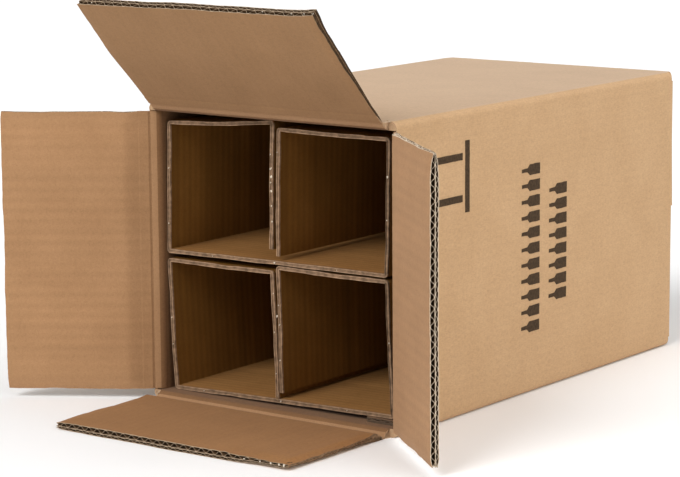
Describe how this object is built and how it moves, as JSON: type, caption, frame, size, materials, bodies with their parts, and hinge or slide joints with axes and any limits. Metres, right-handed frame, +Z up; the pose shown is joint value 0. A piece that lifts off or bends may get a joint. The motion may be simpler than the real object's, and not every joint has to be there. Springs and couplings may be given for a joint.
{
  "type": "bottle shipping box",
  "caption": "Square double-wall kraft carton lying on its side, flaps open at one end, with stacked folded inserts that divide it into long bottle cells.",
  "frame": {"origin": "centre of the underside of the carton as it lies", "axes": "+X across the opening to the right, +Y from the opening to the closed far end, +Z up"},
  "size_m": [0.3933, 0.5059, 0.3003],
  "materials": {
    "kraft_board": "matt kraft liner",
    "insert_board": "matt brown liner"
  },
  "bodies": {
    "carton": {"outer_carton": "kraft_board", "insert_upper": "insert_board", "insert_lower": "insert_board"},
    "flap_upper": {"flap_upper": "kraft_board"},
    "flap_lower": {"flap_lower": "kraft_board"},
    "flap_left": {"flap_left": "kraft_board"},
    "flap_right": {"flap_right": "kraft_board"}
  },
  "joints": [
    {"name": "flap_upper_hinge", "type": "hinge", "parent": "carton", "child": "flap_upper", "pos_m": [0, -0.2005, 0.22], "axis": [-1, 0, 0], "range_deg": [-138, 122]},
    {"name": "flap_lower_hinge", "type": "hinge", "parent": "carton", "child": "flap_lower", "pos_m": [0, -0.2005, 0], "axis": [1, 0, 0], "range_deg": [-90, 170]},
    {"name": "flap_left_hinge", "type": "hinge", "parent": "carton", "child": "flap_left", "pos_m": [-0.11, -0.194, 0.11], "axis": [0, 0, -1], "range_deg": [-147, 113]},
    {"name": "flap_right_hinge", "type": "hinge", "parent": "carton", "child": "flap_right", "pos_m": [0.11, -0.194, 0.11], "axis": [0, 0, 1], "range_deg": [-140, 120]}
  ]
}
